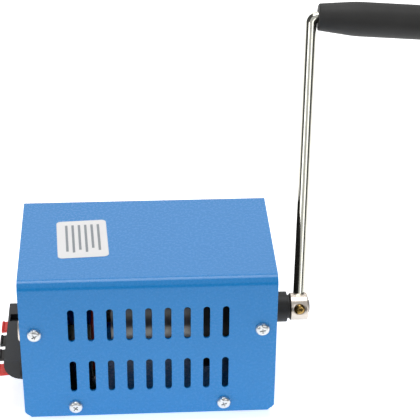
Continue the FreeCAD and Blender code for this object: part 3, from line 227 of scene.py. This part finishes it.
# Cover and chassis: sheet steel, folded, then powder coated blue. Powder coat melts to a
# satin skin with a fine orange peel, and softens every cut edge. The peel is drawn 1.2 mm
# wide, since finer would not show.
blue_coat = finish("blue_powder_coat", "#1d88d3", "#208bd7", 0.27, patch=0.03, grain=0.0012,
                   bump=0.01, depth=0.00006)


def pick(piece):
    """Leaves one object selected and active."""
    bpy.ops.object.select_all(action="DESELECT")
    piece.select_set(True)
    bpy.context.view_layer.objects.active = piece


def dress(node, coat, edge=0.0, segments=2):
    """Merges a copy of a node, rounds its edges by a width and lets it stand for the node.
    Weighted normals keep its flat faces flat to the eye beside the rounded edges."""
    crease = math.radians(40)
    piece = bpy.data.objects.new(node + "_piece", nodes[node].data.copy())
    bpy.context.scene.collection.objects.link(piece)
    pick(piece)
    bpy.ops.mesh.customdata_custom_splitnormals_clear()
    bpy.ops.object.mode_set(mode="EDIT")
    bpy.ops.mesh.select_all(action="SELECT")
    bpy.ops.mesh.remove_doubles(threshold=0.000002)
    bpy.ops.mesh.dissolve_limited(angle_limit=math.radians(0.5))
    bpy.ops.object.mode_set(mode="OBJECT")
    if edge:
        round_off = piece.modifiers.new("round_off", "BEVEL")
        round_off.width = edge
        round_off.segments = segments
        round_off.limit_method = "ANGLE"
        round_off.angle_limit = crease
        bpy.ops.object.modifier_apply(modifier="round_off")
    bpy.ops.object.shade_smooth_by_angle(angle=crease)
    flatten = piece.modifiers.new("flatten", "WEIGHTED_NORMAL")
    flatten.keep_sharp = True
    bpy.ops.object.modifier_apply(modifier="flatten")
    piece.data.materials.clear()
    piece.data.materials.append(coat)
    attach(piece, nodes[node]["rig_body"])
    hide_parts(node)
    return piece


coat_round = 0.00015
dress("cover", blue_coat, coat_round)
dress("chassis", blue_coat, coat_round)

# Cover screws: zinc plated pan heads with a cross recess, four through the front of the cover
# and four through its back. The plating is bright and cold, with fine marks of the barrel it
# was plated in.
zinc = finish("zinc_plated_steel", "#d6d9da", "#e6e8e9", 0.34, patch=0.003, grain=0.0003,
              bump=0.1, Metallic=1.0)


def cross_screw(name, node, place, direction, radius, height, metal, turned_by=0.0):
    """A pan head with a cross recess, whose seat is at a place and which faces a way."""
    bpy.ops.mesh.primitive_cylinder_add(vertices=48, radius=radius, depth=height,
                                        location=(0, 0, height / 2))
    head = bpy.context.object
    head.name = name
    bpy.ops.object.transform_apply(location=True)
    bpy.ops.object.mode_set(mode="EDIT")
    bpy.ops.mesh.select_all(action="DESELECT")
    shape = bmesh.from_edit_mesh(head.data)
    for face in shape.faces:
        face.select_set(face.calc_center_median().z > height * 0.99)
    bmesh.update_edit_mesh(head.data)
    bpy.ops.mesh.bevel(offset=height * 0.85, segments=8, affect="EDGES")
    bpy.ops.object.mode_set(mode="OBJECT")
    for quarter in (0, 1):
        bpy.ops.mesh.primitive_cube_add(size=1, location=(0, 0, height))
        blade = bpy.context.object
        blade.scale = (radius * 1.15, radius * 0.24, height * 1.1)
        blade.rotation_euler.z = math.pi / 2 * quarter
        bpy.ops.object.transform_apply(location=True, rotation=True, scale=True)
        bpy.ops.object.mode_set(mode="EDIT")
        bpy.ops.mesh.select_all(action="DESELECT")
        shape = bmesh.from_edit_mesh(blade.data)
        for face in shape.faces:
            face.select_set(face.calc_center_median().z < height * 0.5)
        bmesh.update_edit_mesh(blade.data)
        bpy.ops.transform.resize(value=(0.45, 0.45, 1), center_override=(0, 0, height * 0.45))
        bpy.ops.object.mode_set(mode="OBJECT")
        pick(head)
        recess = head.modifiers.new("recess", "BOOLEAN")
        recess.operation = "DIFFERENCE"
        recess.object = blade
        bpy.ops.object.modifier_apply(modifier="recess")
        bpy.data.objects.remove(blade)
    soften = head.modifiers.new("soften", "BEVEL")
    soften.width = radius * 0.02
    soften.limit_method = "ANGLE"
    soften.angle_limit = math.radians(40)
    bpy.ops.object.modifier_apply(modifier="soften")
    bpy.ops.object.shade_smooth_by_angle(angle=math.radians(35))
    way = Vector(direction).normalized()
    lay = way.to_track_quat("Z", "Y").to_matrix().to_4x4()
    head.data.transform(Matrix.Translation(place) @ lay @ Matrix.Rotation(turned_by, 4, "Z"))
    head.data.materials.append(metal)
    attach(head, nodes[node]["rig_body"])
    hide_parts(node)
    return head


pan_radius = 0.0031
for side, wall, way in (("front", -0.035, -1), ("back", 0.035, 1)):
    for number, (across, height, turned_by) in enumerate((
            (-0.0488, 0.0487, 0.5), (0.0488, 0.0487, 0.15), (-0.0326, 0.0098, 0.9),
            (0.0326, 0.0098, 0.35)), start=1):
        head = cross_screw(f"cover_screw_{side}_{number}", "cover_screws",
                           (across, wall, height), (0, way, 0), pan_radius, 0.0019, zinc,
                           turned_by)

# Feet: black rubber buttons with a screw sunk in each. Rubber stays matte, and picks up a
# grey bloom of dust.
rubber = finish("black_rubber", "#141414", "#242423", 0.8, patch=0.002, grain=0.0003, bump=0.3)
dress("feet", rubber, 0.0004, 3)
for number, (across, depth) in enumerate(((-0.0407, -0.024), (0.0407, -0.024), (-0.0407, 0.024),
                                          (0.0407, 0.024)), start=1):
    head = cross_screw(f"foot_screw_{number}", "foot_screws", (across, depth, 0.0025),
                       (0, 0, -1), pan_radius, 0.002, zinc, number)

# Sticker: a white vinyl film with rounded corners, pressed on a little askew. It has a dull
# gloss, and bears no print but plain grey bars in matte ink.
film = finish("white_label_film", "#f2f1f1", "#f8f7f7", 0.42, patch=0.006, grain=0.0005,
              bump=0.03)
dress("top_label", film, 0.00005)
label_turn = math.radians(3)
label_middle = Vector((-0.028, 0, 0.0745))
ink = finish("grey_ink", "#8b9096", "#9aa0a6", 0.5, patch=0.002, grain=0.0003, bump=0.02)
bar_width, ink_depth, bar_pitch, bar_top = 0.0011, 0.00006, 0.0028, 0.0115
for number, length in enumerate((0.0215, 0.0225, 0.0205, 0.0225, 0.0195, 0.0215), start=1):
    bpy.ops.mesh.primitive_cube_add(size=1)
    mark = bpy.context.object
    mark.name = f"label_bar_{number}"
    mark.scale = (bar_width, length, ink_depth)
    mark.rotation_euler.z = label_turn
    mark.location = label_middle + Matrix.Rotation(label_turn, 3, "Z") @ Vector(
        (-0.0095 + number * bar_pitch, bar_top - length / 2, 0.00023))
    bpy.ops.object.transform_apply(location=True, rotation=True, scale=True)
    bpy.ops.object.mode_set(mode="EDIT")
    bpy.ops.mesh.select_all(action="SELECT")
    bpy.ops.mesh.bevel(offset=0.00002, segments=1, affect="EDGES")
    bpy.ops.object.mode_set(mode="OBJECT")
    mark.data.materials.append(ink)
    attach(mark, "case")

# Spring terminals: a black nylon housing with four levers that press down, red at both ends.
# Nylon from a spark eroded mould is matte with a fine even grain, and the red is glossier.
black_nylon = finish("black_moulded_nylon", "#1b1b1b", "#262626", 0.5, patch=0.004,
                     grain=0.00035, bump=0.2)
red_nylon = finish("red_moulded_nylon", "#de2a22", "#ee362c", 0.38, patch=0.003, grain=0.0004,
                   bump=0.08)
dress("terminal_housing", black_nylon, 0.0002)
for number, nylon in enumerate((red_nylon, black_nylon, black_nylon, red_nylon), start=1):
    lever = dress(f"terminal_lever_{number}", nylon, 0.00025, 3)

# Power socket: a black barrel through the left panel, held by a nickel plated ring nut, with
# a middle pin of the same. Nickel is warmer than chrome, and here softly blurred.
nickel = finish("nickel_plate", "#cfc5ba", "#ded5cb", 0.32, patch=0.004, grain=0.0004,
                bump=0.06, Metallic=1.0)
dress("power_socket", black_nylon, 0.0001)
dress("power_socket_nut", nickel, 0.0001)
dress("power_socket_pin", nickel, 0.0001)


def coat_node(name, coat):
    """Gives a node that keeps its own mesh a finish."""
    nodes[name].data.materials.clear()
    nodes[name].data.materials.append(coat)


# Contacts, springs and screws behind the terminals, and the board below the machine: bright
# stamped brass, spring steel, a laminate under glossy green resist on milky nylon posts, and
# a capacitor in a shiny dark sleeve.
brass = finish("bright_brass", "#a3844c", "#bfa063", 0.25, patch=0.003, grain=0.0003,
               bump=0.08, Metallic=1.0)
resist = finish("green_solder_resist", "#0a2a18", "#0e3620", 0.25, patch=0.004, grain=0.0006,
                bump=0.1, Coat_Weight=0.5)
white_nylon = finish("natural_nylon", "#d8d6cd", "#e7e5dd", 0.5, patch=0.003, grain=0.0004)
sleeve = finish("capacitor_sleeve", "#15192c", "#1e2440", 0.2, patch=0.004, grain=0.0005,
                Coat_Weight=0.6)
coat_node("terminal_contacts", brass)
for name in ("terminal_springs", "terminal_screws", "board_screws", "plate_screws",
             "motor_screws", "grip_washer", "grip_screw"):
    coat_node(name, zinc)
coat_node("circuit_board", resist)
coat_node("board_posts", white_nylon)
coat_node("capacitor", sleeve)
coat_node("rectifier", black_nylon)

# Leads: stranded copper in coloured vinyl, which is smooth and a little waxy.
red_vinyl = finish("red_vinyl", "#a3201c", "#b92b25", 0.4, patch=0.003, grain=0.0005, bump=0.05)
black_vinyl = finish("black_vinyl", "#1a1a1b", "#242425", 0.4, patch=0.003, grain=0.0005,
                     bump=0.05)
for name in ("motor_lead_red", "output_leads"):
    coat_node(name, red_vinyl)
for name in ("motor_lead_black", "socket_leads"):
    coat_node(name, black_vinyl)

# Gearbox: a moulded cup whose nose carries the crank shaft, with a drawn steel plate behind
# it, dull and faintly lined. Its three screws hold it to the right panel.
plate_steel = finish("drawn_steel", "#8d8d8a", "#a9a9a5", 0.32, patch=0.008, grain=0.0004,
                     bump=0.08, Metallic=1.0)
dress("gearbox_case", black_nylon, 0.0002)
coat_node("gearbox_plate", plate_steel)
panel_side, shaft_height, screw_circle = 0.055, 0.03575, 0.012
for number, angle in enumerate((90, 210, 330), start=1):
    spot = (panel_side, screw_circle * math.cos(math.radians(angle)),
            shaft_height + screw_circle * math.sin(math.radians(angle)))
    head = cross_screw(f"panel_screw_{number}", "panel_screws", spot, (1, 0, 0), pan_radius,
                       0.0021, zinc, number * 0.7)

# Gear train: waxy white acetal wheels cut with fine teeth, a brass pinion, dark oiled steel
# pins and shaft, and bushes of sintered bronze, which is dull and pitted with oil.
acetal = finish("white_acetal", "#cfcabb", "#e0dccf", 0.4, patch=0.006, grain=0.0005)
oiled_steel = finish("oiled_steel", "#3a3a3b", "#525253", 0.3, patch=0.004, grain=0.0003,
                     bump=0.1, Metallic=1.0)
coat_node("crank_gear", acetal)
coat_node("layshaft_gear", acetal)
coat_node("motor_pinion", brass)
for name in ("layshaft_pin", "shaft_clip", "rotor_shaft"):
    coat_node(name, oiled_steel)
bronze = finish("sintered_bronze", "#8a6a3c", "#a5834f", 0.45, patch=0.003, grain=0.0003,
                bump=0.3, Metallic=1.0)
coat_node("shaft_bushes", bronze)
coat_node("motor_bearings", bronze)

# Machine: a drawn steel can round two grey ferrite magnets, a stack of steel plates wound
# with glossy enamelled copper, a copper commutator and matte carbon brushes.
dress("motor_can", plate_steel, 0.0002)
coat_node("motor_end_cap", black_nylon)
ferrite = finish("ferrite", "#303033", "#3c3c40", 0.55, patch=0.003, grain=0.0003, bump=0.3)
stack = finish("stacked_steel_plates", "#565658", "#6c6c6e", 0.4, patch=0.004, grain=0.0005,
               Metallic=1.0)
enamelled_copper = finish("enamelled_copper_wire", "#9a5326", "#bc6c37", 0.3, patch=0.002,
                          grain=0.0006, bump=0.4, Metallic=1.0)
carbon = finish("carbon", "#1c1c1e", "#2c2c2e", 0.6, patch=0.002, grain=0.0003, bump=0.3)
coat_node("field_magnets", ferrite)
coat_node("rotor_core", stack)
coat_node("rotor_windings", enamelled_copper)
coat_node("commutator", enamelled_copper)
coat_node("brushes", carbon)

# Crank shaft end, the black collar beside the nose, and the hub: nickel plated steel, locked
# to the shaft by a brass screw with a cross recess.
dress("crank_shaft", oiled_steel, 0.0001)
dress("shaft_collar", black_nylon, 0.0001)
dress("crank_hub", nickel, 0.0001)
screw_slope = math.radians(20)
screw_way = Vector((0, -math.cos(screw_slope), math.sin(screw_slope)))
hub_middle = Vector((0.0685, 0, shaft_height))
head = cross_screw("hub_screw_piece", "hub_screw", hub_middle + screw_way * 0.0054, screw_way,
                   0.0024, 0.0016, brass, 0.3)

# Crank rod: one length of chrome plated bar, 5 mm thick, with a tight bend towards the grip.
# Chrome mirrors the room sharply, in light and dark lines along the rod.
chrome = finish("chrome_plate", "#c9c8bd", "#d9d8ce", 0.12, patch=0.01, grain=0.0005,
                bump=0.03, Metallic=1.0)
crank_place = (Matrix.Translation(hub_middle) @ Matrix.Rotation(math.radians(-30), 4, "X")
               @ Matrix.Rotation(math.radians(3.95), 4, "Y"))
rod_length, rod_bend, rod_end = 0.1318, 0.0034, 0.0842
rod_radius, rod_start = 0.0025, 0.0032
bpy.ops.mesh.primitive_circle_add(vertices=48, radius=rod_radius, fill_type="NGON",
                                  location=(0, 0, rod_start))
rod = bpy.context.object
rod.name = "crank_rod"
bpy.ops.object.transform_apply(location=True)
bpy.ops.object.mode_set(mode="EDIT")
bpy.ops.mesh.select_all(action="SELECT")
bpy.ops.mesh.extrude_region_move(
    TRANSFORM_OT_translate={"value": (0, 0, rod_length - rod_bend - rod_start)})
bpy.ops.mesh.spin(steps=16, angle=-math.pi / 2, center=(rod_bend, 0, rod_length - rod_bend),
                  axis=(0, 1, 0))
bpy.ops.mesh.extrude_region_move(TRANSFORM_OT_translate={"value": (rod_end - rod_bend, 0, 0)})
bpy.ops.mesh.select_all(action="SELECT")
bpy.ops.mesh.remove_doubles(threshold=0.000001)
bpy.ops.mesh.normals_make_consistent(inside=False)
bpy.ops.object.mode_set(mode="OBJECT")
bpy.ops.object.shade_smooth_by_angle(angle=math.radians(40))
rod.data.transform(crank_place)
rod.data.materials.append(chrome)
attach(rod, "crank")
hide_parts("crank_arm")

# Grip: moulded black plastic with a satin gloss, slim at the rod and swelling to a plain
# barrel. It is bored through for the rod, and hollowed for the screw at its end.
grip_plastic = finish("black_satin_plastic", "#222221", "#2e2d2c", 0.6, patch=0.01,
                      grain=0.0006, bump=0.12)
grip_start, flare_end, grip_end, grip_radius = 0.003, 0.02, 0.09, 0.0079
flare_slope, blend = 0.103, 0.003
grip_bore, mouth_radius, end_round = 0.0026, 0.0031, 0.0024
stations = [(grip_start, mouth_radius), (grip_start, 0.00555), (grip_start + 0.00018, 0.00597),
            (grip_start + 0.0006, 0.0062)]
for step in range(13):
    share = step / 12
    stations.append((flare_end - blend + 2 * blend * share,
                     grip_radius - flare_slope * blend * (1 - share) ** 2))
stations.append((grip_end - end_round, grip_radius))
for step in range(1, 9):
    slope = math.pi / 2 * step / 8
    stations.append((grip_end - end_round * (1 - math.sin(slope)),
                     0.0055 + end_round * math.cos(slope)))
hollow_radius, hollow_floor = 0.0049, grip_end - 0.006
stations += [(grip_end, 0.0051), (grip_end - 0.0002, hollow_radius),
             (hollow_floor, hollow_radius), (hollow_floor, grip_bore),
             (grip_start + 0.0005, grip_bore), (grip_start, mouth_radius)]
bpy.ops.mesh.primitive_circle_add(vertices=72, radius=stations[0][1], fill_type="NOTHING",
                                  location=(0, 0, stations[0][0]))
grip = bpy.context.object
grip.name = "crank_grip"
bpy.ops.object.transform_apply(location=True)
bpy.ops.object.mode_set(mode="EDIT")
bpy.ops.mesh.select_all(action="SELECT")
for (low, inner), (high, outer) in zip(stations, stations[1:]):
    bpy.ops.mesh.extrude_region_move(TRANSFORM_OT_translate={"value": (0, 0, high - low)})
    bpy.ops.transform.resize(value=(outer / inner, outer / inner, 1),
                             center_override=(0, 0, high))
bpy.ops.mesh.select_all(action="SELECT")
bpy.ops.mesh.remove_doubles(threshold=0.000001)
bpy.ops.mesh.normals_make_consistent(inside=False)
bpy.ops.object.mode_set(mode="OBJECT")
bpy.ops.object.shade_smooth_by_angle(angle=math.radians(40))
grip.data.transform(crank_place @ Matrix.Translation((0, 0, rod_length))
                    @ Matrix.Rotation(math.pi / 2, 4, "Y"))
grip.data.materials.append(grip_plastic)
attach(grip, "grip")
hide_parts("grip")

low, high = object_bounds()
